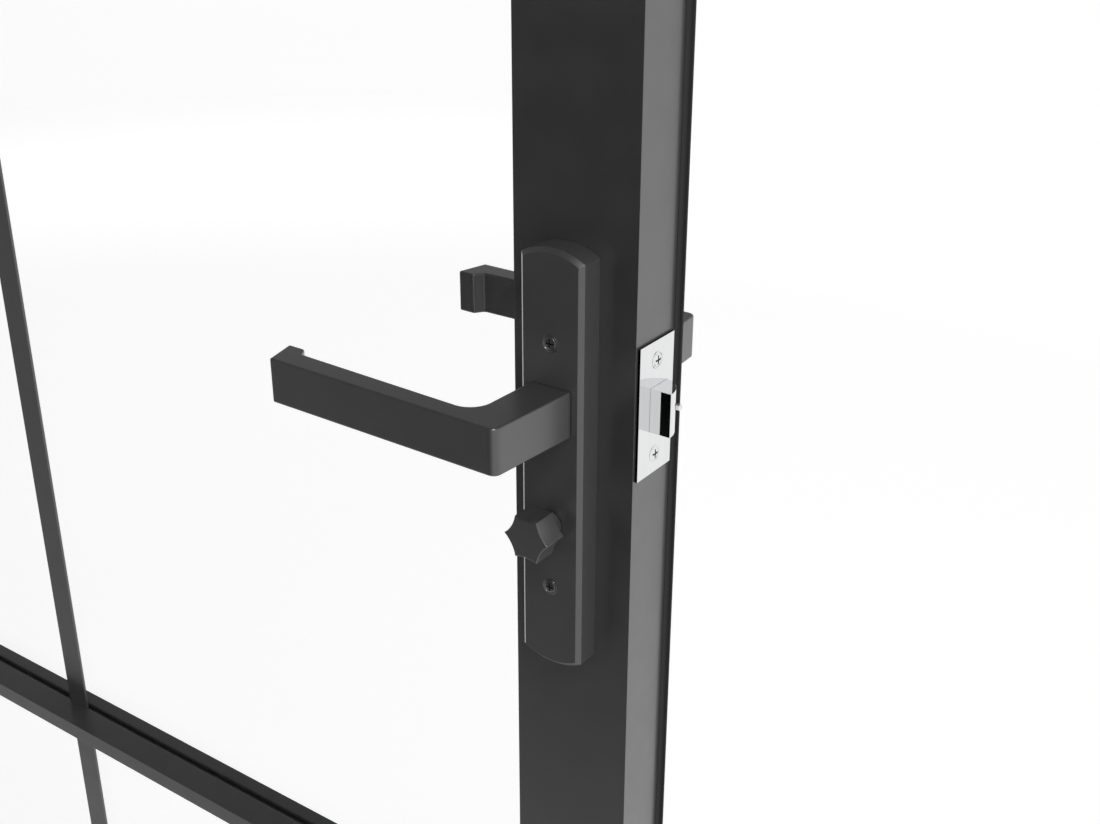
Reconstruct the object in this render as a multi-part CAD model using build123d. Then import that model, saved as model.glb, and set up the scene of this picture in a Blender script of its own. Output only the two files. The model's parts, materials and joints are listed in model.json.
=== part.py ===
"""Glazed door: a slim-framed leaf on three butt hinges in its rebated outer frame.

Every piece is modelled with the door closed: x runs from the leaf's hinge edge to its lock edge,
y from the face on the opening side towards the stop, and z up from the floor. The pieces are then
turned into the row frame, whose origin is the centre of the hinge jamb's foot, and the leaf's
pieces are swung fully open about the hinge axis.
"""
import math
import os

from build123d import *

# Leaf
leaf_width = 926.0
leaf_height = 2040.0
leaf_thickness = 36.0
floor_gap = 8.0
stile_width = 63.0
profile_wall = 2.0
cleat_length = 90.0
cleat_thickness = 12.0
cleat_width = 30.0

# Glazing
glass_front = 20.0
glass_thickness = 3.0
gasket_thickness = 1.0
groove_depth = 12.0
glass_bite = 9.0
gasket_set_back = 0.5
rail_height = 11.0
rail_depth = 31.0
rail_set_back = 1.5
rail_groove_depth = 3.0
rail_glass_bite = 2.5
rows = 3
bar_width = 18.0
bar_thickness = 1.6

# Edge seal
seal_width = 3.8
seal_root = 4.0
seal_reach = 3.0
seal_nose = 0.8
seal_heel = 0.7
seal_hollow = 2.0

# Outer frame
frame_depth = 70.0
foot_cap_thickness = 3.0
jamb_rebate_width = 30.0
stop_height = 15.0
stop_gap = 1.0
hinge_gap = 4.0
lock_gap = 4.5
head_gap = 4.5
open_angle = 180.0

# Hinges
hinge_offset = 8.0
hinge_length = 100.0
hinge_end = 200.0
knuckle_radius = 6.5
knuckle_count = 5
pin_radius = 3.0
pin_clearance = 0.05
pin_cap_radius = 5.0
pin_cap_height = 3.0
washer_thickness = 1.0
hinge_plate_thickness = 1.8
hinge_plate_depth = 28.0
hinge_screw_spacing = 38.0
hinge_screw_set = 13.0

# Countersunk screws
screw_radius = 2.0
screw_head_radius = 3.8
screw_length = 12.0
screw_clearance = 0.05
slot_width = 1.1
slot_depth = 1.5
slot_taper = 8.0
slot_reach = 0.6

# Handles
lever_above_rail = 355.0
backset = 34.6
plate_width = 32.2
plate_side = 194.0
plate_arch = 4.5
plate_thickness = 13.0
plate_chamfer = 2.0
plate_drop = 29.2
plate_shell = 3.0
plate_screw_spacing = 119.4
plate_screw_head_radius = 4.0
plate_screw_radius = 2.0
post_radius = 4.0
post_clearance = 0.2

lever_section = 21.6
lever_gap = 0.5
lever_reach = 61.7
lever_length = 119.8
neck_base = 10.9
neck_front = 7.3
neck_inner = 11.2
lever_corner = 4.0
grip_thickness = 10.7
grip_bend = 10.0
grip_taper = 1.3
tip_return = 18.2
tip_lean = 4.3
tip_width = 9.5
tip_step = 4.9
tip_fillet = 2.0
lever_edge = 0.9
boss_radius = 8.0
boss_length = 8.0
bush_radius = 10.0
bush_clearance = 0.06
spindle_side = 8.0
spindle_clearance = 0.05
spindle_bite = 20.0
spindle_end_gap = 1.0

# Thumb-turn
turn_drop = 55.9
star_points = 6
star_radius = 11.75
star_waist = 9.1
star_near = 19.0
star_far = 31.5
collar_radius = 6.5
collar_gap = 0.4
turn_radius = 3.0
turn_clearance = 0.06
turn_bite = 8.0
cam_reach = 12.0
cam_width = 6.0
cam_thickness = 5.0
disc_radius = 9.0
disc_proud = 3.0
coin_slot_width = 1.6
coin_slot_depth = 1.8

# Latch
faceplate_width = 27.0
faceplate_height = 62.5
faceplate_thickness = 1.2
faceplate_edge = 1.7
latch_screw_spacing = 44.4
bolt_near = 10.5
bolt_far = 24.1
bolt_height = 20.4
bolt_throw = 10.2
bolt_rear = 12.0
bolt_clearance = 0.15
case_wall = 1.2
case_length = 48.0
case_side_gap = 1.0
case_head_gap = 3.1
hub_radius = 7.0
hub_length = 12.0
hub_arm_radius = 11.5
hub_arm_width = 3.0
hub_arm_thickness = 4.4
hub_arm_lead = 26.0
tail_thickness = 1.1
tail_width = 6.0
lug_thickness = 2.9
lug_bottom = 9.0
lug_gap = 0.5
plunger_radius = 1.5
plunger_side = 21.0
plunger_reach = 10.4
plunger_length = 21.4
plunger_clearance = 0.3

# Strike
strike_thickness = 1.2
strike_window_gap = 1.6
strike_lip_height = 26.0
strike_lip_radius = 2.5
box_wall = 1.2
box_depth = 16.0

# Wall fixings
wall_hole_radius = 3.5
wall_access_radius = 7.0
wall_holes_from_foot = 300.0
wall_hole_spacing = 1400.0

# Derived places
leaf_top = floor_gap + leaf_height
glass_rear = glass_front + glass_thickness
groove_front = glass_front - gasket_thickness
groove_rear = glass_rear + gasket_thickness
rebate_depth = leaf_thickness + stop_gap
jamb_width = jamb_rebate_width + stop_height
frame_top = leaf_top + head_gap + jamb_rebate_width
jamb_outer = -hinge_gap - jamb_rebate_width
lock_jamb_outer = leaf_width + lock_gap + jamb_rebate_width
hinge_x = -hinge_gap / 2
hinge_y = -hinge_offset
lever_x = leaf_width - backset
daylight_bottom = floor_gap + stile_width
daylight_top = leaf_top - stile_width
row_height = (daylight_top - daylight_bottom - (rows - 1) * rail_height) / rows
lever_height = daylight_bottom + row_height + rail_height + lever_above_rail
turn_z = lever_height - turn_drop
plate_z = lever_height - plate_drop
hinge_heights = [
    floor_gap + hinge_end,
    floor_gap + leaf_height / 2,
    leaf_top - hinge_end,
]
bolt_side = (bolt_near + bolt_far) / 2
faceplate_side = faceplate_edge + faceplate_width / 2


def block(x0, x1, y0, y1, z0, z1):
    """A box between two corners."""
    size = (x1 - x0, y1 - y0, z1 - z0)
    centre = ((x0 + x1) / 2, (y0 + y1) / 2, (z0 + z1) / 2)
    return Pos(*centre) * Box(*size)


def rod(radius, start, end):
    """A round bar from one point to another along a row axis."""
    path = Vector(*end) - Vector(*start)
    plane = Plane(origin=start, z_dir=path.normalized())
    return extrude(plane * Circle(radius), path.length)


def patch(y0, y1, v0, v1):
    """A rectangle of a profile's section: y across the door, v in from its outer side."""
    return Pos((y0 + y1) / 2, (v0 + v1) / 2) * Rectangle(y1 - y0, v1 - v0)


def rounded_face(corners):
    """A face from corners (x, y, radius), with an arc of that radius at each."""
    count = len(corners)
    points = [Vector(c[0], c[1]) for c in corners]
    edges = []
    last = None
    first = None
    for i in range(count):
        here, radius = points[i], corners[i][2]
        back = (points[i - 1] - here).normalized()
        ahead = (points[(i + 1) % count] - here).normalized()
        start, end = here, here
        if radius > 0:
            half = math.radians(back.get_angle(ahead)) / 2
            start = here + back * (radius / math.tan(half))
            end = here + ahead * (radius / math.tan(half))
            bisector = (back + ahead).normalized()
            middle = here + bisector * (radius / math.sin(half) - radius)
        if last is not None:
            edges.append(Line(last, start))
        else:
            first = start
        if radius > 0:
            edges.append(ThreePointArc(start, middle, end))
        last = end
    edges.append(Line(last, first))
    return make_face(edges)


def member(section, length, low, high, mitre_start=True, mitre_end=True):
    """A profile along +X, its outer side at z = 0, with mitred or square ends."""
    reach = abs(low) + abs(high)
    bar = extrude(Plane.YZ.offset(-reach) * section, length + 2 * reach)
    start = [(low, low), (high, high)] if mitre_start else [(0, low), (0, high)]
    end = (
        [(length - high, high), (length - low, low)]
        if mitre_end
        else [(length, high), (length, low)]
    )
    outline = make_face(Polyline(start + end, close=True))
    return bar & extrude(Plane.XZ * outline, frame_depth * 2, both=True)


def stand_hinge_side(shape, outer, top):
    """Stand a member on end with its outer side at x = outer, facing +X, start at the top."""
    return Pos(outer, 0, top) * Rot(0, 90, 0) * shape


def stand_lock_side(shape, outer, bottom):
    """Stand a member on end with its outer side at x = outer, facing -X, start at the foot."""
    return Pos(outer, 0, bottom) * Rot(0, -90, 0) * shape


def lay_head(shape, right, top):
    """Turn a member over so that its outer side faces up, running towards -X."""
    return Pos(right, 0, top) * Rot(0, 180, 0) * shape


def other_face(shape):
    """The same piece on the leaf's other face."""
    return mirror(shape, about=Plane.XZ.offset(-leaf_thickness / 2))


def countersunk_screw(head_at, direction, length=screw_length):
    """A flat-headed screw whose head lies flush at a point, pointing along a direction."""
    plane = Plane(origin=head_at, z_dir=direction)
    head_depth = screw_head_radius - screw_radius
    head = Cone(
        screw_head_radius,
        screw_radius,
        head_depth,
        align=(Align.CENTER, Align.CENTER, Align.MIN),
    )
    shank = Pos(0, 0, head_depth) * Cylinder(
        screw_radius,
        length - head_depth,
        align=(Align.CENTER, Align.CENTER, Align.MIN),
    )
    slot = cross_slot(head_at, direction, slot_reach * screw_head_radius)
    return plane * (head + shank) - slot


def screw_hole(head_at, direction, length=screw_length):
    """The hole that a countersunk screw fills, with its clearance."""
    plane = Plane(origin=head_at, z_dir=direction)
    head_depth = screw_head_radius - screw_radius
    head = Cone(
        screw_head_radius + screw_clearance,
        screw_radius + screw_clearance,
        head_depth,
        align=(Align.CENTER, Align.CENTER, Align.MIN),
    )
    shank = Cylinder(
        screw_radius + screw_clearance,
        length + 1,
        align=(Align.CENTER, Align.CENTER, Align.MIN),
    )
    return plane * (head + shank)


def cross_slot(head_at, direction, reach):
    """The cross-shaped recess of a screw head, tapering towards its bottom."""
    plane = Plane(origin=head_at, z_dir=direction)
    blade = slot_width, 2 * reach
    arms = plane * Rectangle(*blade) + plane * Rectangle(*reversed(blade))
    return extrude(arms, slot_depth, taper=slot_taper)


# Leaf profiles

def leaf_section():
    """Hollow stile profile with a glazing groove inside and a seal notch outside."""
    wall = profile_wall
    inner = stile_width - groove_depth
    notch = leaf_thickness - seal_width
    section = patch(0, leaf_thickness, 0, stile_width)
    section -= patch(notch, leaf_thickness, 0, seal_root)
    section -= patch(groove_front, groove_rear, inner, stile_width)
    section -= patch(wall, notch - wall, wall, inner - wall)
    section -= patch(notch - wall, leaf_thickness - wall, seal_root + wall, inner - wall)
    section -= patch(wall, groove_front - wall, inner, stile_width - wall)
    section -= patch(groove_rear + wall, leaf_thickness - wall, inner, stile_width - wall)
    return section


def leaf_member(length):
    return member(leaf_section(), length, 0, stile_width)


def rail_section():
    """Slim rail with a glazing groove above and below."""
    section = patch(rail_set_back, rail_set_back + rail_depth, 0, rail_height)
    section -= patch(groove_front, groove_rear, 0, rail_groove_depth)
    top = rail_height - rail_groove_depth
    section -= patch(groove_front, groove_rear, top, rail_height)
    return section


def seal_section():
    """Rubber fin: rooted in the notch, hollow in front, with a back that slopes to the rear face."""
    low, high = leaf_thickness - seal_width, leaf_thickness
    start = low - seal_hollow
    bend = seal_hollow * math.sqrt(0.5)
    edges = [
        Line((low, seal_root), (low, 0)),
        Line((low, 0), (start, 0)),
        ThreePointArc((start, 0), (start + bend, bend - seal_hollow), (low, -seal_hollow)),
        Line((low, -seal_hollow), (low, seal_nose / 2 - seal_reach)),
        ThreePointArc(
            (low, seal_nose / 2 - seal_reach),
            (low + seal_nose * 0.15, seal_nose * 0.15 - seal_reach),
            (low + seal_nose / 2, -seal_reach),
        ),
        Line((low + seal_nose / 2, -seal_reach), (low + seal_nose, -seal_reach)),
        Line((low + seal_nose, -seal_reach), (high, -seal_heel)),
        Line((high, -seal_heel), (high, seal_root)),
        Line((high, seal_root), (low, seal_root)),
    ]
    return make_face(edges)


def row_bottom(row):
    """Height of the daylight opening's lower edge in a row."""
    return daylight_bottom + row * (row_height + rail_height)


def row_bites(row):
    """How deep a pane and its gaskets go below and above the daylight opening."""
    low = glass_bite if row == 0 else rail_glass_bite
    high = glass_bite if row == rows - 1 else rail_glass_bite
    return low, high


def glass_pane(row):
    low, high = row_bites(row)
    z0, z1 = row_bottom(row) - low, row_bottom(row) + row_height + high
    side = stile_width - glass_bite
    return block(side, leaf_width - side, glass_front, glass_rear, z0, z1)


def gasket_ring(row, y0):
    """A flat rubber frame between a pane's rim and one wall of the groove."""
    low, high = row_bites(row)
    z0, z1 = row_bottom(row), row_bottom(row) + row_height
    side = stile_width - glass_bite
    ring = block(side, leaf_width - side, y0, y0 + gasket_thickness, z0 - low, z1 + high)
    inner = stile_width - gasket_set_back
    return ring - block(
        inner,
        leaf_width - inner,
        y0 - 1,
        y0 + gasket_thickness + 1,
        z0 - gasket_set_back,
        z1 + gasket_set_back,
    )


def glazing_bar(row):
    """A flat bar bonded to the pane's front."""
    centre = leaf_width / 2
    z0 = row_bottom(row)
    return block(
        centre - bar_width / 2,
        centre + bar_width / 2,
        glass_front - bar_thickness,
        glass_front,
        z0,
        z0 + row_height,
    )


def corner_cleat(y0, y1):
    """An angle cleat in the corner at x = 0, z = 0, against the outer walls."""
    near, far = profile_wall, profile_wall + cleat_thickness
    outline = [
        (near, near),
        (cleat_length, near),
        (cleat_length, far),
        (far, far),
        (far, cleat_length),
        (near, cleat_length),
    ]
    face = make_face(Polyline(outline, close=True))
    return extrude(Plane.XZ.offset(-y1) * face, y1 - y0)


def leaf_cleats():
    notch = leaf_thickness - seal_width
    cleat = corner_cleat(profile_wall, notch - profile_wall)
    turned = [
        Pos(0, 0, floor_gap) * cleat,
        Pos(0, 0, leaf_top) * Rot(0, 90, 0) * cleat,
        Pos(leaf_width, 0, floor_gap) * Rot(0, -90, 0) * cleat,
        Pos(leaf_width, 0, leaf_top) * Rot(0, 180, 0) * cleat,
    ]
    return turned


def edge_seals():
    section = seal_section()
    high = seal_root
    side = member(section, leaf_height, -seal_reach, high, True, False)
    lock = member(section, leaf_height, -seal_reach, high, False, True)
    top = member(section, leaf_width, -seal_reach, high)
    return [
        stand_hinge_side(side, 0, leaf_top),
        stand_lock_side(lock, leaf_width, floor_gap),
        lay_head(top, leaf_width, leaf_top),
    ]


# Outer frame

def frame_section():
    """Hollow rebated profile: the rebate takes the leaf, the stop stands behind it."""
    wall = profile_wall
    rebate, full, depth = jamb_rebate_width, jamb_width, frame_depth
    section = patch(0, depth, 0, rebate) + patch(rebate_depth, depth, rebate, full)
    section -= patch(wall, depth - wall, wall, rebate - wall)
    section -= patch(rebate_depth + wall, depth - wall, rebate - wall, full - wall)
    return section


def wall_fixing_heights():
    return [wall_holes_from_foot, wall_holes_from_foot + wall_hole_spacing]


def jamb_wall_holes(outer, inward):
    """Screw holes through the wall side, each with an access hole through the rebate."""
    y = rebate_depth / 2
    inner = outer + inward * (jamb_rebate_width + 1)
    cuts = []
    for z in wall_fixing_heights():
        cuts.append(rod(wall_hole_radius, (outer - inward, y, z), (inner, y, z)))
        start = outer + inward * (profile_wall + 1)
        cuts.append(rod(wall_access_radius, (start, y, z), (inner, y, z)))
    return cuts


def hinge_jamb():
    length = frame_top - foot_cap_thickness
    bar = member(frame_section(), length, 0, jamb_width, True, False)
    jamb = stand_hinge_side(bar, jamb_outer, frame_top)
    for cut in jamb_wall_holes(jamb_outer, 1):
        jamb -= cut
    for x, y, z in hinge_screw_places():
        jamb -= screw_hole((-hinge_gap + hinge_plate_thickness, y, z), (-1, 0, 0))
    return jamb


def lock_jamb():
    length = frame_top - foot_cap_thickness
    bar = member(frame_section(), length, 0, jamb_width, False, True)
    jamb = stand_lock_side(bar, lock_jamb_outer, foot_cap_thickness)
    for cut in jamb_wall_holes(lock_jamb_outer, -1):
        jamb -= cut
    face = leaf_width + lock_gap
    y0, y1, z0, z1 = strike_window()
    gap = box_wall
    jamb -= block(face - 1, face + profile_wall + 1, y0 - gap, y1 + gap, z0 - gap, z1 + gap)
    for z in latch_screw_heights():
        jamb -= screw_hole((face - strike_thickness, faceplate_side, z), (1, 0, 0))
    return jamb


def foot_caps():
    """Solid caps under the jambs, in the outline of the profile."""
    outline = patch(0, frame_depth, 0, jamb_rebate_width)
    outline += patch(rebate_depth, frame_depth, jamb_rebate_width, jamb_width)
    cap = extrude(Plane.YZ * outline, foot_cap_thickness)
    return [
        stand_hinge_side(cap, jamb_outer, foot_cap_thickness),
        stand_lock_side(cap, lock_jamb_outer, 0),
    ]


def head():
    length = lock_jamb_outer - jamb_outer
    bar = member(frame_section(), length, 0, jamb_width)
    return lay_head(bar, lock_jamb_outer, frame_top)


def frame_cleats():
    y0 = rebate_depth / 2 - cleat_width / 2
    cleat = corner_cleat(y0, y0 + cleat_width)
    return [
        Pos(jamb_outer, 0, frame_top) * Rot(0, 90, 0) * cleat,
        Pos(lock_jamb_outer, 0, frame_top) * Rot(0, 180, 0) * cleat,
    ]


# Hinges

def knuckle_spans():
    """Heights of the knuckles from the hinge's foot, with a washer between each two."""
    span = (hinge_length - (knuckle_count - 1) * washer_thickness) / knuckle_count
    pitch = span + washer_thickness
    return [(i * pitch, i * pitch + span) for i in range(knuckle_count)]


def hinge_leaf(x0, x1, own):
    """A hinge plate with its knuckles; own is 0 for the outer knuckles and 1 for the others."""
    plate = block(x0, x1, hinge_y, hinge_plate_depth + hinge_y, 0, hinge_length)
    spans = knuckle_spans()
    clear = knuckle_radius + 0.4
    for i, (z0, z1) in enumerate(spans):
        if i % 2 != own:
            low = z0 - washer_thickness if i else -1
            high = z1 + washer_thickness if i < knuckle_count - 1 else hinge_length + 1
            plate -= rod(clear, (hinge_x, hinge_y, low), (hinge_x, hinge_y, high))
    for i, (z0, z1) in enumerate(spans):
        if i % 2 == own:
            plate += rod(knuckle_radius, (hinge_x, hinge_y, z0), (hinge_x, hinge_y, z1))
    bore = rod(
        pin_radius + pin_clearance,
        (hinge_x, hinge_y, -1),
        (hinge_x, hinge_y, hinge_length + 1),
    )
    return plate - bore


def hinge_screw_places():
    places = []
    for height in hinge_heights:
        for step in (-1, 0, 1):
            places.append((0, hinge_screw_set, height + step * hinge_screw_spacing))
    return places


def frame_hinges():
    plates = []
    for height in hinge_heights:
        plate = Pos(0, 0, height - hinge_length / 2) * hinge_leaf(
            -hinge_gap, -hinge_gap + hinge_plate_thickness, 0
        )
        for _, y, z in hinge_screw_places():
            if abs(z - height) < hinge_length / 2:
                plate -= screw_hole((-hinge_gap + hinge_plate_thickness, y, z), (-1, 0, 0))
        plates.append(plate)
    return plates


def leaf_hinges():
    plates = []
    for height in hinge_heights:
        plate = Pos(0, 0, height - hinge_length / 2) * hinge_leaf(-hinge_plate_thickness, 0, 1)
        for _, y, z in hinge_screw_places():
            if abs(z - height) < hinge_length / 2:
                plate -= screw_hole((-hinge_plate_thickness, y, z), (1, 0, 0))
        plates.append(plate)
    return plates


def hinge_pins():
    pins = []
    for height in hinge_heights:
        low, high = height - hinge_length / 2, height + hinge_length / 2
        pin = rod(pin_radius, (hinge_x, hinge_y, low), (hinge_x, hinge_y, high))
        pin += rod(pin_cap_radius, (hinge_x, hinge_y, high), (hinge_x, hinge_y, high + pin_cap_height))
        pin += rod(pin_cap_radius, (hinge_x, hinge_y, low - pin_cap_height), (hinge_x, hinge_y, low))
        rims = pin.edges().filter_by(GeomType.CIRCLE).sort_by(Axis.Z)
        pins.append(fillet([rims[0], rims[-1]], pin_cap_height * 0.6))
    return pins


def hinge_washers():
    washers = []
    for height in hinge_heights:
        for z0, z1 in knuckle_spans()[:-1]:
            low = height - hinge_length / 2 + z1
            start, end = (hinge_x, hinge_y, low), (hinge_x, hinge_y, low + washer_thickness)
            ring = rod(knuckle_radius, start, end) - rod(pin_radius + pin_clearance, start, end)
            washers.append(ring)
    return washers


def hinge_screws(x, direction):
    return [countersunk_screw((x, y, z), direction) for _, y, z in hinge_screw_places()]


# Handle plates and levers

def plate_outline(width, side, arch):
    """Straight sides and arched ends, centred on the plate."""
    half, end = width / 2, side / 2
    edges = [
        Line((-half, -end), (-half, end)),
        ThreePointArc((-half, end), (0, end + arch), (half, end)),
        Line((half, end), (half, -end)),
        ThreePointArc((half, -end), (0, -end - arch), (-half, -end)),
    ]
    return make_face(edges)


def plate_screw_heights():
    half = plate_screw_spacing / 2
    return [plate_z - half, plate_z + half]


def front_backplate():
    """Arched plate, chamfered all round, hollow behind, with its bores and screw seats."""
    outline = Pos(lever_x, plate_z) * plate_outline(plate_width, plate_side, plate_arch)
    plate = extrude(Plane.XZ * outline, plate_thickness)
    rim = plate.faces().sort_by(Axis.Y)[0].edges()
    plate = chamfer(rim, plate_chamfer)
    inner = Pos(lever_x, plate_z) * plate_outline(
        plate_width - 2 * plate_shell, plate_side - 2 * plate_shell, plate_arch
    )
    pocket = extrude(Plane.XZ * inner, plate_thickness - plate_shell)
    for z, radius in [(lever_height, bush_radius + plate_shell / 2), (turn_z, collar_radius)]:
        pocket -= rod(radius, (lever_x, 1, z), (lever_x, -plate_thickness, z))
    for z in plate_screw_heights():
        pocket -= rod(post_radius + plate_shell / 2, (lever_x, 1, z), (lever_x, -plate_thickness, z))
    plate -= pocket
    through = -plate_thickness - 1
    plate -= rod(bush_radius, (lever_x, 1, lever_height), (lever_x, through, lever_height))
    plate -= rod(turn_radius + turn_clearance, (lever_x, 1, turn_z), (lever_x, through, turn_z))
    return plate


def plate_with_screw_seats():
    plate = front_backplate()
    for z in plate_screw_heights():
        plate -= plate_screw_shape(z, screw_clearance)
        plate -= rod(plate_screw_radius + 0.3, (lever_x, 1, z), (lever_x, -plate_thickness, z))
    return plate


def rear_backplate():
    plate = front_backplate()
    for z in plate_screw_heights():
        plate -= rod(post_radius + post_clearance, (lever_x, 1, z), (lever_x, 4 - plate_thickness, z))
    return other_face(plate)


def plate_screw_shape(z, gap=0.0):
    """Flat-headed machine screw from the front plate to the post in the rear plate."""
    depth = plate_screw_head_radius - plate_screw_radius
    face = -plate_thickness
    head = Cone(
        plate_screw_head_radius + gap,
        plate_screw_radius + gap,
        depth,
        align=(Align.CENTER, Align.CENTER, Align.MIN),
    )
    placed = Plane(origin=(lever_x, face, z), z_dir=(0, 1, 0)) * head
    end = leaf_thickness + 2
    shank = rod(plate_screw_radius + gap, (lever_x, face + depth, z), (lever_x, end, z))
    return placed + shank


def plate_screw(z):
    reach = slot_reach * plate_screw_head_radius
    slot = cross_slot((lever_x, -plate_thickness, z), (0, 1, 0), reach)
    return plate_screw_shape(z) - slot


def plate_post(z):
    """Threaded post, let into the back of the rear plate and reaching into the leaf."""
    outer = leaf_thickness + plate_thickness - 4 - post_clearance
    start = leaf_thickness - 6
    post = rod(post_radius, (lever_x, start, z), (lever_x, outer, z))
    return post - rod(plate_screw_radius + 0.02, (lever_x, start - 1, z), (lever_x, outer - 3, z))


def lever_bush():
    ring = rod(bush_radius, (lever_x, 0, lever_height), (lever_x, -plate_thickness, lever_height))
    bore = boss_radius + bush_clearance
    return ring - rod(bore, (lever_x, 1, lever_height), (lever_x, -plate_thickness - 1, lever_height))


def front_lever():
    """Flat bar lever: a leaning neck, a square outer corner and a hooked tip."""
    base = plate_thickness + lever_gap
    grip_inner = lever_reach - grip_thickness
    tip_inner = lever_reach - tip_return
    tip_outer_x = -lever_length - tip_lean
    tip_inner_x = tip_outer_x + tip_width
    corners = [
        (neck_base, -base, 0),
        (neck_front, -lever_reach, lever_corner),
        (-lever_length, grip_taper - lever_reach, lever_edge),
        (tip_outer_x, -tip_inner, lever_edge),
        (tip_inner_x, -tip_inner, tip_fillet),
        (tip_inner_x + 0.7 * tip_step, -tip_inner - tip_step, 1.2 * tip_fillet),
        (-neck_inner, -grip_inner, grip_bend),
        (grip_taper - neck_inner, -base, 0),
    ]
    face = Pos(lever_x, 0, lever_height - lever_section / 2) * rounded_face(corners)
    lever = extrude(face, lever_section)
    levels = [lever_height - lever_section / 2, lever_height + lever_section / 2]
    rims = [e for e in lever.edges() if any(abs(e.center().Z - z) < 1e-3 for z in levels)]
    rims = [e for e in rims if e.center().Y < -base - 0.01]
    lever = fillet(rims, lever_edge)
    lever += rod(
        boss_radius,
        (lever_x, -base - 1, lever_height),
        (lever_x, -plate_thickness + boss_length, lever_height),
    )
    return lever - spindle_hole(-base - spindle_bite, 0)


def spindle_hole(y0, y1):
    half = spindle_side / 2 + spindle_clearance
    return block(
        lever_x - half, lever_x + half, y0, y1, lever_height - half, lever_height + half
    )


def spindle():
    half = spindle_side / 2
    reach = plate_thickness + lever_gap + spindle_bite - spindle_end_gap
    return block(
        lever_x - half,
        lever_x + half,
        -reach,
        leaf_thickness + reach,
        lever_height - half,
        lever_height + half,
    )


# Thumb-turn

def thumb_turn():
    """Six-pointed knob with hollow flanks on a round collar."""
    step = 360 / star_points
    edges = []
    for i in range(star_points):
        start = Vector(star_radius, 0).rotate(Axis.Z, i * step)
        middle = Vector(star_waist, 0).rotate(Axis.Z, (i + 0.5) * step)
        end = Vector(star_radius, 0).rotate(Axis.Z, (i + 1) * step)
        edges.append(ThreePointArc(start, middle, end))
    face = Pos(lever_x, turn_z) * make_face(edges)
    knob = extrude(Plane.XZ.offset(star_near) * face, star_far - star_near)
    knob = fillet(knob.faces().sort_by(Axis.Y)[0].edges(), 0.4)
    start = (lever_x, -plate_thickness - collar_gap, turn_z)
    knob += rod(collar_radius, start, (lever_x, -star_near - 0.5, turn_z))
    hole_end = -plate_thickness - turn_bite
    return knob - rod(turn_radius, (lever_x, 0, turn_z), (lever_x, hole_end, turn_z))


def turn_spindle():
    """Round spindle with the cam that blocks the latch from below."""
    outer = -plate_thickness - turn_bite
    rear = leaf_thickness + plate_thickness + collar_gap
    bar = rod(turn_radius, (lever_x, outer, turn_z), (lever_x, rear, turn_z))
    middle = leaf_thickness / 2
    half = cam_width / 2
    cam = extrude(
        Plane.XZ.offset(-middle) * (Pos(lever_x, turn_z) * Circle(half + turn_radius)),
        cam_thickness / 2,
        both=True,
    )
    nose = block(
        lever_x - cam_reach,
        lever_x,
        middle - cam_thickness / 2,
        middle + cam_thickness / 2,
        turn_z - half,
        turn_z + half,
    )
    return bar + cam + nose


def release_disc():
    """Slotted disc on the rear plate that turns the spindle with a coin."""
    face = leaf_thickness + plate_thickness + collar_gap
    disc = rod(disc_radius, (lever_x, face, turn_z), (lever_x, face + disc_proud, turn_z))
    outer = disc.edges().filter_by(GeomType.CIRCLE).sort_by(Axis.Y)[-1]
    disc = chamfer(outer, 0.6)
    slot = block(
        lever_x - disc_radius * 0.7,
        lever_x + disc_radius * 0.7,
        face + disc_proud - coin_slot_depth,
        face + disc_proud + 1,
        turn_z - coin_slot_width / 2,
        turn_z + coin_slot_width / 2,
    )
    return disc - slot


# Latch

def latch_screw_heights():
    half = latch_screw_spacing / 2
    return [lever_height - half, lever_height + half]


def bolt_window(gap):
    half = bolt_height / 2 + gap
    return bolt_near - gap, bolt_far + gap, lever_height - half, lever_height + half


def case_span():
    """The latch case's outer sides and heights."""
    y0 = bolt_near - case_side_gap - case_wall
    y1 = bolt_far + case_side_gap + case_wall
    half = bolt_height / 2 + case_head_gap + case_wall
    return y0, y1, lever_height - half, lever_height + half


def latch_faceplate():
    half = faceplate_height / 2
    plate = block(
        leaf_width,
        leaf_width + faceplate_thickness,
        faceplate_edge,
        faceplate_edge + faceplate_width,
        lever_height - half,
        lever_height + half,
    )
    y0, y1, z0, z1 = bolt_window(bolt_clearance)
    plate -= block(leaf_width - 1, leaf_width + faceplate_thickness + 1, y0, y1, z0, z1)
    for z in latch_screw_heights():
        plate -= screw_hole((leaf_width + faceplate_thickness, faceplate_side, z), (-1, 0, 0))
    return plate


def latch_case():
    """Open-fronted box behind the faceplate, with bores for the hub in both sides."""
    y0, y1, z0, z1 = case_span()
    rear = leaf_width - case_length
    case = block(rear, leaf_width, y0, y1, z0, z1)
    wall = case_wall
    case -= block(rear + wall, leaf_width + 1, y0 + wall, y1 - wall, z0 + wall, z1 - wall)
    bore = hub_radius + bush_clearance
    return case - rod(bore, (lever_x, y0 - 1, lever_height), (lever_x, y1 + 1, lever_height))


def latch_hub():
    """Follower on the spindle, with the arm that draws the bolt back."""
    y0, y1, _, _ = case_span()
    hub = rod(hub_radius, (lever_x, y0, lever_height), (lever_x, y1, lever_height))
    half = hub_arm_width / 2
    arm = block(
        lever_x - half,
        lever_x + half,
        bolt_side - hub_arm_thickness / 2,
        bolt_side + hub_arm_thickness / 2,
        lever_height,
        lever_height + hub_arm_radius,
    )
    pivot = Axis((lever_x, 0, lever_height), (0, 1, 0))
    hub += arm.rotate(pivot, hub_arm_lead)
    return hub - spindle_hole(y0 - 1, y1 + 1)


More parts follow.
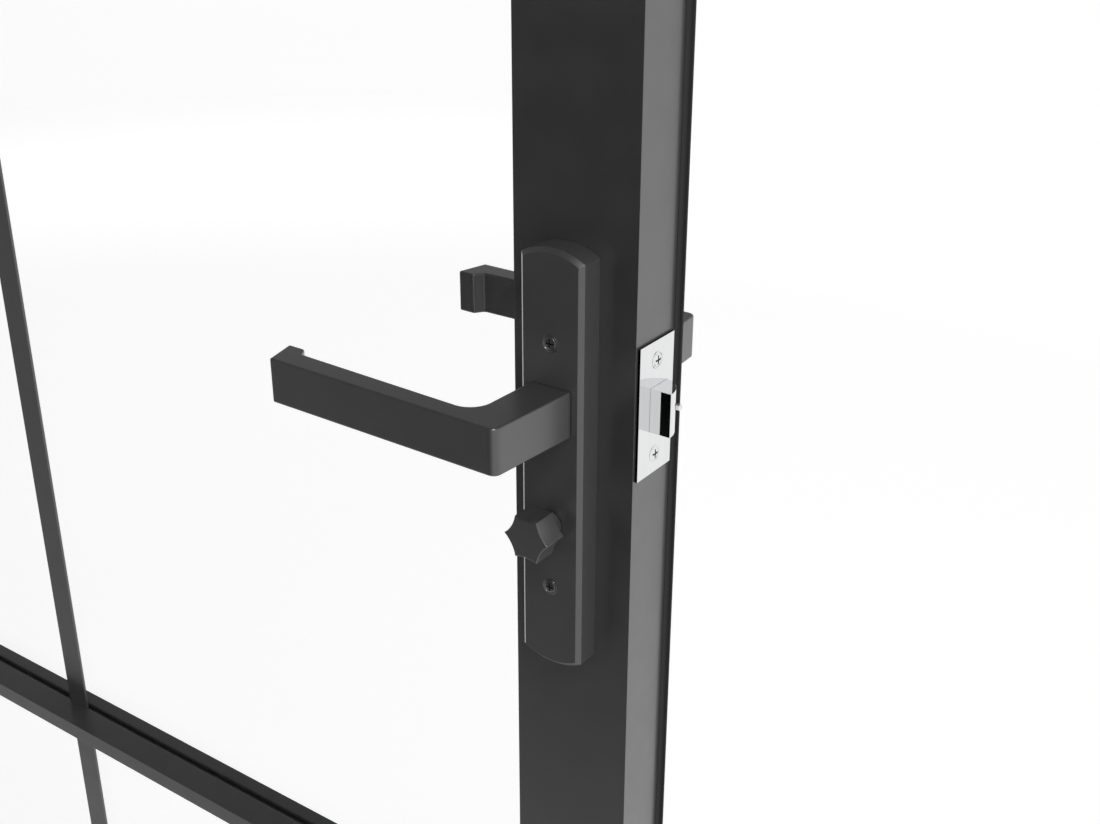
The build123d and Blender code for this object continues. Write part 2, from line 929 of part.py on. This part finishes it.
def latch_bolt():
    """Bolt with a flat near face and a curved bevel, on a tail that the hub's arm pulls."""
    tip = leaf_width + faceplate_thickness + bolt_throw
    rear = leaf_width - bolt_rear
    shoulder = leaf_width + faceplate_thickness
    half = bolt_height / 2
    edges = [
        Line((rear, bolt_near), (tip, bolt_near)),
        Line((tip, bolt_near), (tip, bolt_near + 0.8)),
        ThreePointArc(
            (tip, bolt_near + 0.8),
            (tip - bolt_throw * 0.24, bolt_near + 8.2),
            (shoulder, bolt_far),
        ),
        Line((shoulder, bolt_far), (rear, bolt_far)),
        Line((rear, bolt_far), (rear, bolt_near)),
    ]
    head_shape = extrude(Pos(0, 0, lever_height - half) * make_face(edges), 2 * half)
    lead = math.radians(hub_arm_lead)
    arm_side = lug_bottom * math.tan(lead) - hub_arm_width / 2 / math.cos(lead)
    lug_front = lever_x + arm_side - lug_gap
    top = case_span()[3] - case_wall - 0.2
    y0, y1 = bolt_side - tail_width / 2, bolt_side + tail_width / 2
    riser = block(rear, rear + 3, y0, y1, lever_height, top)
    strip = block(lug_front - lug_thickness, rear + 3, y0, y1, top - tail_thickness, top)
    lug = block(
        lug_front - lug_thickness,
        lug_front,
        y0,
        y1,
        lever_height + lug_bottom,
        top,
    )
    bolt = head_shape + riser + strip + lug
    start = (rear - 1, plunger_side, lever_height)
    end = (tip + 1, plunger_side, lever_height)
    return bolt - rod(plunger_radius + plunger_clearance, start, end)


def deadlatch_plunger():
    tip = leaf_width + plunger_reach
    start = (tip - plunger_length, plunger_side, lever_height)
    pin = rod(plunger_radius, start, (tip, plunger_side, lever_height))
    rims = pin.edges().filter_by(GeomType.CIRCLE).sort_by(Axis.X)
    return chamfer(rims[-1], 0.4)


def lock_stile():
    """Lock stile with its latch cut-out and the holes that the handles pass through."""
    stile = stand_lock_side(leaf_member(leaf_height), leaf_width, floor_gap)
    y0, y1, z0, z1 = case_span()
    stile -= block(leaf_width - profile_wall - 1, leaf_width + 1, y0, y1, z0, z1)
    for z in latch_screw_heights():
        stile -= screw_hole((leaf_width + faceplate_thickness, faceplate_side, z), (-1, 0, 0))
    ends = -1, leaf_thickness + 1
    passages = [(lever_height, bush_radius), (turn_z, collar_radius)]
    passages += [(z, post_radius + post_clearance) for z in plate_screw_heights()]
    for z, radius in passages:
        stile -= rod(radius, (lever_x, ends[0], z), (lever_x, ends[1], z))
    return stile


def hinge_stile():
    stile = stand_hinge_side(leaf_member(leaf_height), 0, leaf_top)
    for _, y, z in hinge_screw_places():
        stile -= screw_hole((-hinge_plate_thickness, y, z), (1, 0, 0))
    return stile


# Strike

def strike_window():
    return bolt_window(strike_window_gap)


def strike_plate():
    """Plate with a bolt window and a lip that curls round the jamb's corner."""
    face = leaf_width + lock_gap
    half = faceplate_height / 2
    plate = block(
        face - strike_thickness,
        face,
        faceplate_edge,
        faceplate_edge + faceplate_width,
        lever_height - half,
        lever_height + half,
    )
    lip_half = strike_lip_height / 2
    curl = strike_lip_radius
    tongue = block(
        face - strike_thickness,
        face,
        -0.5,
        faceplate_edge,
        lever_height - lip_half,
        lever_height + lip_half,
    )
    outer = Pos(face - strike_thickness + curl, -0.5) * Circle(curl)
    bend = outer - Pos(face - strike_thickness + curl, -0.5) * Circle(curl - strike_thickness)
    quarter = Pos(face - strike_thickness + curl / 2, -0.5 - curl / 2) * Rectangle(curl, curl)
    lip = extrude(Pos(0, 0, lever_height - lip_half) * (bend & quarter), strike_lip_height)
    plate = plate + tongue + lip
    y0, y1, z0, z1 = strike_window()
    plate -= block(face - strike_thickness - 1, face + 1, y0, y1, z0, z1)
    for z in latch_screw_heights():
        plate -= screw_hole((face - strike_thickness, faceplate_side, z), (1, 0, 0))
    return plate


def strike_box():
    """Moulded box that keeps the bolt's pocket clear inside the jamb."""
    face = leaf_width + lock_gap
    y0, y1, z0, z1 = strike_window()
    wall = box_wall
    cup = block(face, face + box_depth, y0 - wall, y1 + wall, z0 - wall, z1 + wall)
    return cup - block(face - 1, face + box_depth - wall, y0, y1, z0, z1)


# Placing and writing

def to_row(shape):
    """From the closed door's frame to the row frame at the hinge jamb's foot."""
    foot_x = jamb_outer + jamb_width / 2
    foot_y = frame_depth / 2
    return Rot(0, 0, 180) * Pos(-foot_x, -foot_y, 0) * shape


def swung_open(shape):
    """Turn a leaf piece about the hinge axis to its open rest pose."""
    return shape.rotate(Axis((hinge_x, hinge_y, 0), (0, 0, 1)), -open_angle)


def save(name, shapes, on_leaf):
    shapes = shapes if isinstance(shapes, list) else [shapes]
    placed = [to_row(swung_open(s)) if on_leaf else to_row(s) for s in shapes]
    result = placed[0] if len(placed) == 1 else Compound(placed)
    export_step(result, f"parts/{name}.step")


def main():
    os.makedirs("parts", exist_ok=True)

    frame_nodes = {
        "hinge_jamb": hinge_jamb(),
        "lock_jamb": lock_jamb(),
        "head": head(),
        "foot_caps": foot_caps(),
        "frame_corner_cleats": frame_cleats(),
        "frame_hinge_leaves": frame_hinges(),
        "hinge_pins": hinge_pins(),
        "hinge_washers": hinge_washers(),
        "frame_hinge_screws": hinge_screws(-hinge_gap + hinge_plate_thickness, (-1, 0, 0)),
        "strike_plate": strike_plate(),
        "strike_screws": [
            countersunk_screw(
                (leaf_width + lock_gap - strike_thickness, faceplate_side, z), (1, 0, 0)
            )
            for z in latch_screw_heights()
        ],
        "strike_box": strike_box(),
    }

    rail = extrude(Plane.YZ.offset(stile_width) * rail_section(), leaf_width - 2 * stile_width)
    leaf_nodes = {
        "lock_stile": lock_stile(),
        "hinge_stile": hinge_stile(),
        "top_rail": lay_head(leaf_member(leaf_width), leaf_width, leaf_top),
        "bottom_rail": Pos(0, 0, floor_gap) * leaf_member(leaf_width),
        "leaf_corner_cleats": leaf_cleats(),
        "lower_mid_rail": Pos(0, 0, row_bottom(1) - rail_height) * rail,
        "upper_mid_rail": Pos(0, 0, row_bottom(2) - rail_height) * rail,
        "lower_glass": glass_pane(0),
        "middle_glass": glass_pane(1),
        "upper_glass": glass_pane(2),
        "glazing_bars": [glazing_bar(row) for row in range(rows)],
        "glazing_gaskets": [
            gasket_ring(row, y) for row in range(rows) for y in (groove_front, glass_rear)
        ],
        "edge_seal": edge_seals(),
        "leaf_hinge_leaves": leaf_hinges(),
        "leaf_hinge_screws": hinge_screws(-hinge_plate_thickness, (1, 0, 0)),
        "front_backplate": plate_with_screw_seats(),
        "rear_backplate": rear_backplate(),
        "plate_screws": [plate_screw(z) for z in plate_screw_heights()],
        "plate_posts": [plate_post(z) for z in plate_screw_heights()],
        "lever_bushes": [lever_bush(), other_face(lever_bush())],
        "front_lever": front_lever(),
        "rear_lever": other_face(front_lever()),
        "spindle": spindle(),
        "latch_hub": latch_hub(),
        "latch_case": latch_case(),
        "latch_faceplate": latch_faceplate(),
        "latch_screws": [
            countersunk_screw((leaf_width + faceplate_thickness, faceplate_side, z), (-1, 0, 0))
            for z in latch_screw_heights()
        ],
        "latch_bolt": latch_bolt(),
        "deadlatch_plunger": deadlatch_plunger(),
        "thumb_turn": thumb_turn(),
        "turn_spindle": turn_spindle(),
        "release_disc": release_disc(),
    }

    for name, shapes in frame_nodes.items():
        save(name, shapes, on_leaf=False)
    for name, shapes in leaf_nodes.items():
        save(name, shapes, on_leaf=True)


main()
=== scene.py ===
"""Studio scene of the glazed door: materials, fine detail, lights and camera."""
import json
import math

import bmesh
import bpy
from mathutils import Matrix, Vector


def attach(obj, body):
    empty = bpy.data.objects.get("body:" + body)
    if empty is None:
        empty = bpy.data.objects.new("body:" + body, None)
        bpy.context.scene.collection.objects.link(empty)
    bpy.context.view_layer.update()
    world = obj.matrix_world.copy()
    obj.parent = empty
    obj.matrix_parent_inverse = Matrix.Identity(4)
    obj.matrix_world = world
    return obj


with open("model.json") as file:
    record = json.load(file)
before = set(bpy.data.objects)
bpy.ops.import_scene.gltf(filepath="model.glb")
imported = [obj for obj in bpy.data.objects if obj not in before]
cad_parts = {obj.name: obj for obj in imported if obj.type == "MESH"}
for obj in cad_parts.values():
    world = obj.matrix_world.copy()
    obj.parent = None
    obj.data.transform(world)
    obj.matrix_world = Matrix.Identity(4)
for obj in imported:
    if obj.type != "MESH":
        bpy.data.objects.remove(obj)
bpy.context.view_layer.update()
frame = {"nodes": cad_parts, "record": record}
scene = bpy.context.scene


# Camera, solved from the straight edges of the door in the photograph

camera_place = (1.2149, -0.4266, 1.3314)
camera_dip = math.radians(24.92)
camera_turn = math.radians(35.47)
sensor_width = 36.0
focal_length = 47.88
clip_span = (0.01, 100.0)

camera_data = bpy.data.cameras.new("camera")
camera_data.sensor_fit = "HORIZONTAL"
camera_data.sensor_width = sensor_width
camera_data.lens = focal_length
camera_data.clip_start, camera_data.clip_end = clip_span
camera = bpy.data.objects.new("camera", camera_data)
camera.location = camera_place
camera.rotation_euler = (math.radians(90) - camera_dip, 0.0, camera_turn)
scene.collection.objects.link(camera)
scene.camera = camera


# Node helpers

whole = (0.0, 1.0)
noise_span = (0.3, 0.7)  # nearly all of a noise's values lie between these


def set_inputs(node, values):
    """Sets the inputs of a node by name or number."""
    for key, value in values.items():
        node.inputs[key].default_value = value


def add_node(tree, kind, values=None, **settings):
    """A new node with its settings and then the values of its inputs."""
    node = tree.nodes.new(kind)
    for key, value in settings.items():
        setattr(node, key, value)
    set_inputs(node, values or {})
    return node


def combine(tree, operation, first, second):
    """Two values joined by a math operation, each a socket or a number."""
    node = add_node(tree, "ShaderNodeMath", operation=operation)
    for socket, value in zip(node.inputs, (first, second)):
        if isinstance(value, bpy.types.NodeSocket):
            tree.links.new(value, socket)
        else:
            socket.default_value = value
    return node.outputs["Value"]


def spread(tree, value, before, after=whole, step="LINEAR"):
    """A value carried from one span to another and held inside it."""
    ranged = add_node(
        tree,
        "ShaderNodeMapRange",
        {"From Min": before[0], "From Max": before[1], "To Min": after[0], "To Max": after[1]},
        interpolation_type=step,
    )
    tree.links.new(value, ranged.inputs["Value"])
    return ranged.outputs["Result"]


def fade(tree, value, before, after=whole):
    """A smooth step of a value."""
    return spread(tree, value, before, after, "SMOOTHSTEP")


def noise(tree, scale, detail=4.0, stretch=(1, 1, 1)):
    """Object-space noise; the objects sit at the origin, so this is the row frame in metres."""
    where = add_node(tree, "ShaderNodeTexCoord")
    mapping = add_node(tree, "ShaderNodeMapping", {"Scale": stretch})
    texture = add_node(tree, "ShaderNodeTexNoise", {"Scale": scale, "Detail": detail})
    tree.links.new(where.outputs["Object"], mapping.inputs["Vector"])
    tree.links.new(mapping.outputs["Vector"], texture.inputs["Vector"])
    return texture.outputs["Fac"]


def tint(tree, value, low, high):
    """Two colours mixed by a value from 0 to 1."""
    mix = add_node(tree, "ShaderNodeMix", {"A": (*low, 1.0), "B": (*high, 1.0)}, data_type="RGBA")
    tree.links.new(value, mix.inputs["Factor"])
    return mix.outputs["Result"]


# Materials

def new_material(name):
    material = bpy.data.materials.new(name)
    material.use_nodes = True
    tree = material.node_tree
    return material, tree, tree.nodes["Principled BSDF"]


def add_paint(tree, shader, clouds, low, high, gloss, rough):
    """Colour between low and high and roughness in the rough span, each driven by a noise."""
    colour = tint(tree, spread(tree, clouds, noise_span), low, high)
    tree.links.new(colour, shader.inputs["Base Color"])
    tree.links.new(spread(tree, gloss, noise_span, rough), shader.inputs["Roughness"])


def add_bump(tree, shader, heights, distance, strength, edge):
    """Fine relief, with every sharp edge softened over the given radius."""
    rounding = add_node(tree, "ShaderNodeBevel", {"Radius": edge}, samples=12)
    bump = add_node(tree, "ShaderNodeBump", {"Distance": distance, "Strength": strength})
    tree.links.new(heights, bump.inputs["Height"])
    tree.links.new(rounding.outputs["Normal"], bump.inputs["Normal"])
    tree.links.new(bump.outputs["Normal"], shader.inputs["Normal"])


def coated(name, low, high, rough, grain, depth, edge, coat):
    """Powder-coated or painted metal: fine orange peel, faint clouding of colour and gloss."""
    material, tree, shader = new_material(name)
    clouds, gloss = noise(tree, scale=9.0), noise(tree, scale=60.0)
    add_paint(tree, shader, clouds, low, high, gloss, rough)
    peel = noise(tree, grain, detail=2.0)
    add_bump(tree, shader, peel, depth, strength=0.5, edge=edge)
    set_inputs(shader, {"Specular IOR Level": 0.8, "Coat Weight": coat, "Coat Roughness": 0.2})
    return material


def metal(name, low, high, rough, grain, depth, stretch=(1, 1, 1)):
    """Bare or plated metal with a drawn or polished surface."""
    material, tree, shader = new_material(name)
    lines = noise(tree, grain, detail=3.0, stretch=stretch)
    add_paint(tree, shader, lines, low, high, lines, rough)
    add_bump(tree, shader, lines, depth, strength=0.3, edge=0.00015)
    set_inputs(shader, {"Metallic": 1.0})
    return material


def moulded(name, low, high, rough, grain, depth):
    """Rubber or moulded plastic."""
    material, tree, shader = new_material(name)
    clouds = noise(tree, scale=30.0)
    add_paint(tree, shader, clouds, low, high, clouds, rough)
    fine = noise(tree, grain, detail=3.0)
    add_bump(tree, shader, fine, depth, strength=0.5, edge=0.0003)
    set_inputs(shader, {"Specular IOR Level": 0.35})
    return material


def clear_glass(name):
    """Clear panes: a mirror that is faint face on, as glass is, and grows at grazing angles."""
    face_on, grazing, steepness = 0.012, 0.6, 5.0
    material, tree, shader = new_material(name)
    haze = spread(tree, noise(tree, scale=3.0, detail=2.0), noise_span)
    colour = tint(tree, haze, (0.9, 0.93, 0.92), (0.93, 0.96, 0.95))
    tree.links.new(colour, shader.inputs["Base Color"])
    set_inputs(shader, {"Metallic": 1.0, "Roughness": 0.03})
    slant = add_node(tree, "ShaderNodeLayerWeight", {"Blend": 0.5})
    steep = combine(tree, "POWER", slant.outputs["Facing"], steepness)
    tree.links.new(spread(tree, steep, whole, (face_on, grazing)), shader.inputs["Alpha"])
    return material


def paint_dark_reflection_on_sides(material):
    """Paints the cut sides of a thin plate that faces along X nearly black: a painted dark
    reflection.
    """
    tree = material.node_tree
    colour = tree.nodes["Principled BSDF"].inputs["Base Color"]
    surface = add_node(tree, "ShaderNodeNewGeometry")
    axes = add_node(tree, "ShaderNodeSeparateXYZ")
    tree.links.new(surface.outputs["True Normal"], axes.inputs["Vector"])
    # Nearly black on faces that do not face along X: painted dark reflection
    mix = add_node(tree, "ShaderNodeMix", {"A": (0.006, 0.006, 0.006, 1.0)}, data_type="RGBA")
    tree.links.new(colour.links[0].from_socket, mix.inputs["B"])
    tree.links.new(combine(tree, "ABSOLUTE", axes.outputs["X"], 0.0), mix.inputs["Factor"])
    tree.links.new(mix.outputs["Result"], colour)


chrome_look = dict(
    low=(0.77, 0.775, 0.78),
    high=(0.8, 0.805, 0.81),
    rough=(0.03, 0.06),
    grain=700.0,
    depth=0.000002,
    stretch=(1, 1, 0.05),
)

finishes = {
    "black_profile": coated(
        "black_profile",
        low=(0.040, 0.040, 0.042),
        high=(0.047, 0.047, 0.049),
        rough=(0.36, 0.44),
        grain=900.0,
        depth=0.00005,
        edge=0.0004,
        coat=0.75,
    ),
    "black_handle": coated(
        "black_handle",
        low=(0.067, 0.067, 0.068),
        high=(0.075, 0.075, 0.076),
        rough=(0.28, 0.34),
        grain=1400.0,
        depth=0.00002,
        edge=0.0005,
        coat=0.35,
    ),
    "black_screw": coated(
        "black_screw",
        low=(0.05, 0.05, 0.051),
        high=(0.058, 0.058, 0.059),
        rough=(0.22, 0.28),
        grain=1600.0,
        depth=0.00001,
        edge=0.0002,
        coat=0.5,
    ),
    "chrome": metal("chrome", **chrome_look),
    "steel": metal(
        "steel",
        low=(0.5, 0.5, 0.51),
        high=(0.58, 0.58, 0.59),
        rough=(0.28, 0.38),
        grain=900.0,
        depth=0.00001,
        stretch=(1, 0.05, 1),
    ),
    "zinc": metal(
        "zinc",
        low=(0.6, 0.61, 0.62),
        high=(0.68, 0.69, 0.7),
        rough=(0.4, 0.5),
        grain=500.0,
        depth=0.00002,
    ),
    "rubber": moulded(
        "rubber",
        low=(0.024, 0.024, 0.025),
        high=(0.03, 0.03, 0.031),
        rough=(0.6, 0.75),
        grain=1500.0,
        depth=0.00004,
    ),
    "black_plastic": moulded(
        "black_plastic",
        low=(0.03, 0.03, 0.03),
        high=(0.038, 0.038, 0.038),
        rough=(0.45, 0.55),
        grain=1800.0,
        depth=0.00003,
    ),
    "clear_glass": clear_glass("clear_glass"),
}

for entry in frame["record"]["subparts"]:
    node = frame["nodes"][entry["node"]]
    node.data.materials.clear()
    node.data.materials.append(finishes[entry["material_slot"]])

# The latch faceplate's chrome, with its cut sides painted nearly black as a painted dark
# reflection
plate_with_painted_reflection = metal("chrome_plate_painted_dark_sides", **chrome_look)
paint_dark_reflection_on_sides(plate_with_painted_reflection)
frame["nodes"]["latch_faceplate"].data.materials[0] = plate_with_painted_reflection


# Fine detail on the leaf: raised screw crowns and the collar around the bolt

screw_gap = 0.01
crown_radius = 0.0039
crown_rise = 0.0007
crown_sink = 0.0002
cross_width = 0.0009
cross_reach = 0.0021
smooth_angle = math.radians(35)

collar_depths = (0.9187, 0.91968)
bolt_sides = (0.0615, 0.0751)
bolt_levels = (1.057467, 1.077867)
collar_gap = 0.00014
collar_air = 0.00002


def to_mesh(name, shape):
    """The shape as a mesh. The shape itself is freed."""
    mesh = bpy.data.meshes.new(name)
    shape.to_mesh(mesh)
    shape.free()
    return mesh


def dress_leaf(name, mesh, slot_name):
    """Adds a mesh as a piece that moves with the leaf."""
    mesh.materials.append(finishes[slot_name])
    piece = bpy.data.objects.new(name, mesh)
    scene.collection.objects.link(piece)
    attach(piece, "leaf")


def clusters(node, gap):
    """Boxes around the parts of a node that stand apart in height."""
    points = sorted((vertex.co.copy() for vertex in node.data.vertices), key=lambda point: point.z)
    groups = [[points[0]]]
    for before, point in zip(points, points[1:]):
        if point.z - before.z > gap:
            groups.append([])
        groups[-1].append(point)
    return [
        [Vector(pick(point[axis] for point in group) for axis in range(3)) for pick in (min, max)]
        for group in groups
    ]


def prism(name, outline, low, high):
    """A solid with the given outline in XY between two heights."""
    shape = bmesh.new()
    face = shape.faces.new([shape.verts.new((x, y, low)) for x, y in outline])
    grown = bmesh.ops.extrude_face_region(shape, geom=[face])["geom"]
    top = [item for item in grown if isinstance(item, bmesh.types.BMVert)]
    bmesh.ops.translate(shape, vec=(0, 0, high - low), verts=top)
    bmesh.ops.recalc_face_normals(shape, faces=shape.faces)
    return bpy.data.objects.new(name, to_mesh(name, shape))


def dome(name, radius, rise, sink, around=48, rings=8):
    """A shallow dome inside a raised rim, closed underneath."""
    bead = 0.06 * radius
    shoulder, rim, valley, foot = 0.3, 0.5, 0.1, 0.2
    profile = [
        (radius, -sink),
        (radius, shoulder * rise),
        (radius - bead, rim * rise),
        (radius - 2 * bead, rim * rise),
        (radius - 3 * bead, valley * rise),
    ]
    inner = radius - 4 * bead
    for ring in range(rings):
        angle = math.radians(90) * ring / rings
        height = rise * (foot + (1 - foot) * math.sin(angle))
        profile.append((inner * math.cos(angle), height))
    shape = bmesh.new()
    turns = [math.tau * k / around for k in range(around)]
    loops = [
        [shape.verts.new((r * math.cos(turn), r * math.sin(turn), z)) for turn in turns]
        for r, z in profile
    ]
    for below, above in zip(loops, loops[1:]):
        for k in range(around):
            n = (k + 1) % around
            shape.faces.new((below[k], below[n], above[n], above[k]))
    shape.faces.new(loops[0][::-1])
    shape.faces.new(loops[-1])
    return bpy.data.objects.new(name, to_mesh(name, shape))


def cross_outline(width, reach):
    """Corners of a cross with four equal arms."""
    half = width / 2
    arm = [(reach, -half), (reach, half), (half, half)]
    quarter_turns = [(1, 0), (0, 1), (-1, 0), (0, -1)]
    return [(x * c - y * s, x * s + y * c) for c, s in quarter_turns for x, y in arm]


def subtract(solid, tool):
    """The solid's mesh with the tool cut out of it. Both helpers are removed."""
    for helper in (solid, tool):
        scene.collection.objects.link(helper)
    cut = solid.modifiers.new("cut", "BOOLEAN")
    cut.operation = "DIFFERENCE"
    cut.object = tool
    bpy.context.view_layer.update()
    graph = bpy.context.evaluated_depsgraph_get()
    mesh = bpy.data.meshes.new_from_object(solid.evaluated_get(graph))
    for helper in (solid, tool):
        bpy.data.objects.remove(helper)
    return mesh


def add_crowns(name, node, axis, sign, slot_name):
    """Raised crowns with a cross recess on the flush heads of a node's screws."""
    crown = subtract(
        dome("crown", crown_radius, crown_rise, crown_sink),
        prism("cross", cross_outline(cross_width, cross_reach), low=-1.0, high=1.0),
    )
    way = Vector([sign if k == axis else 0 for k in range(3)])
    turn = way.to_track_quat("Z", "Y").to_matrix().to_4x4()
    shape = bmesh.new()
    for low, high in clusters(frame["nodes"][node], screw_gap):
        place = (low + high) / 2
        place[axis] = high[axis] if sign > 0 else low[axis]
        start = len(shape.verts)
        shape.from_mesh(crown)
        shape.verts.ensure_lookup_table()
        added = shape.verts[start:]
        bmesh.ops.transform(shape, matrix=Matrix.Translation(place) @ turn, verts=added)
    mesh = to_mesh(name, shape)
    mesh.shade_smooth()
    mesh.set_sharp_from_angle(angle=smooth_angle)
    dress_leaf(name, mesh, slot_name)


def add_collar(name, depths, sides, levels, gap, air, slot_name):
    """Thin frame that closes the faceplate's gap around the latch bolt."""
    y0, y1 = sides
    z0, z1 = levels
    bars = [
        ((y0 - gap, y0 - air), (z0 - gap, z1 + gap)),
        ((y1 + air, y1 + gap), (z0 - gap, z1 + gap)),
        ((y0 - air, y1 + air), (z0 - gap, z0 - air)),
        ((y0 - air, y1 + air), (z1 + air, z1 + gap)),
    ]
    shape = bmesh.new()
    for (ya, yb), (za, zb) in bars:
        size = Matrix.Diagonal((depths[1] - depths[0], yb - ya, zb - za, 1.0))
        centre = Matrix.Translation((sum(depths) / 2, (ya + yb) / 2, (za + zb) / 2))
        bmesh.ops.create_cube(shape, matrix=centre @ size)
    dress_leaf(name, to_mesh(name, shape), slot_name)


add_crowns("plate_screw_crowns", "plate_screws", axis=1, sign=-1, slot_name="black_screw")
add_crowns("latch_screw_crowns", "latch_screws", axis=0, sign=1, slot_name="chrome")
add_collar(
    "bolt_collar",
    collar_depths,
    bolt_sides,
    bolt_levels,
    collar_gap,
    collar_air,
    slot_name="chrome",
)


# Floor, background and lights

def add_floor(centre, level, fading, matte_glow, glare):
    """A pale round floor that keeps soft shadows and fades into the white background.

    fading holds the radii where the fade starts and where the floor ends, matte_glow the share
    of plain glow before the fade, and glare the strength of that glow there."""
    shape = bmesh.new()
    bmesh.ops.create_circle(shape, cap_ends=True, radius=fading[1], segments=96)
    mesh = to_mesh("floor", shape)
    floor = bpy.data.objects.new("floor", mesh)
    floor.location = (*centre, level)
    scene.collection.objects.link(floor)
    material, tree, shader = new_material("floor")
    clouds = spread(tree, noise(tree, scale=0.8), noise_span)
    colour = tint(tree, clouds, (0.84, 0.84, 0.84), (0.86, 0.86, 0.86))
    tree.links.new(colour, shader.inputs["Base Color"])
    set_inputs(shader, {"Roughness": 0.9, "Specular IOR Level": 0.1})
    where = add_node(tree, "ShaderNodeTexCoord")
    reach = add_node(tree, "ShaderNodeVectorMath", operation="LENGTH")
    tree.links.new(where.outputs["Object"], reach.inputs[0])
    radius = reach.outputs["Value"]
    glow = add_node(tree, "ShaderNodeEmission")
    tree.links.new(fade(tree, radius, fading, (glare, 1.0)), glow.inputs["Strength"])
    mix = add_node(tree, "ShaderNodeMixShader")
    tree.links.new(fade(tree, radius, fading, (matte_glow, 1.0)), mix.inputs["Fac"])
    tree.links.new(shader.outputs["BSDF"], mix.inputs[1])
    tree.links.new(glow.outputs["Emission"], mix.inputs[2])
    tree.links.new(mix.outputs["Shader"], tree.nodes["Material Output"].inputs["Surface"])
    mesh.materials.append(material)
    floor.visible_glossy = False
    floor.visible_diffuse = False


def set_world(dark_way, dark_span, left_dimming, overhead_light, matte_light):
    """White to the camera and through glass.

    The object sees white too, but for a dark stretch of room in front of the door, a dimmer
    ceiling on the left and less light from straight above. Matte surfaces get less of it all."""
    world = bpy.data.worlds.new("studio")
    scene.world = world
    world.use_nodes = True
    tree = world.node_tree
    where = add_node(tree, "ShaderNodeTexCoord").outputs["Generated"]
    axes = add_node(tree, "ShaderNodeSeparateXYZ")
    tree.links.new(where, axes.inputs["Vector"])
    toward = add_node(
        tree, "ShaderNodeVectorMath", {1: Vector(dark_way).normalized()}, operation="DOT_PRODUCT"
    )
    tree.links.new(where, toward.inputs[0])
    room = fade(tree, toward.outputs["Value"], dark_span, (1.0, 0.0))
    high = fade(tree, axes.outputs["Z"], (0.0, 0.4))
    left = fade(tree, axes.outputs["X"], (-0.3, 0.4), (left_dimming, 0.0))
    ceiling = combine(tree, "SUBTRACT", 1.0, combine(tree, "MULTIPLY", high, left))
    overhead = fade(tree, axes.outputs["Z"], (0.5, 0.85), (1.0, overhead_light))
    path = add_node(tree, "ShaderNodeLightPath")
    matte = fade(tree, path.outputs["Is Diffuse Ray"], whole, (1.0, matte_light))
    light = room
    for share in (ceiling, overhead, matte):
        light = combine(tree, "MULTIPLY", light, share)
    seen = combine(
        tree, "MAXIMUM", path.outputs["Is Camera Ray"], path.outputs["Is Transmission Ray"]
    )
    background = tree.nodes["Background"]
    set_inputs(background, {"Color": (1, 1, 1, 1)})
    tree.links.new(combine(tree, "MAXIMUM", light, seen), background.inputs["Strength"])


def add_light(name, place, target, size, power, mirrored=True, matte=True):
    """A rectangular lamp that points at the target."""
    data = bpy.data.lights.new(name, "AREA")
    data.shape = "RECTANGLE"
    data.size, data.size_y = size
    data.energy = power
    light = bpy.data.objects.new(name, data)
    light.location = place
    way = Vector(target) - Vector(place)
    light.rotation_euler = way.to_track_quat("-Z", "Y").to_euler()
    light.visible_glossy = mirrored
    light.visible_diffuse = matte
    scene.collection.objects.link(light)


add_floor(centre=(0.0, 0.5), level=-0.0005, fading=(2.2, 4.5), matte_glow=0.55, glare=1.58)
set_world(
    dark_way=(-0.4, -0.9, -0.15),
    dark_span=(0.5, 0.97),
    left_dimming=0.85,
    overhead_light=0.35,
    matte_light=0.75,
)

key_place = (2.2, -1.25, 3.3)
fill_place = (-1.6, -2.6, 1.6)
lever_place = (0.9, 0.0, 1.07)
leaf_place = (0.9, 0.0, 1.0)
add_light("key", key_place, lever_place, size=(0.8, 0.8), power=11.0, mirrored=False)
add_light("glint", key_place, lever_place, size=(0.7, 0.7), power=70.0, matte=False)
add_light("fill", fill_place, leaf_place, size=(1.2, 1.6), power=20.0, mirrored=False)

scene.view_settings.view_transform = "Standard"
scene.view_settings.look = "None"
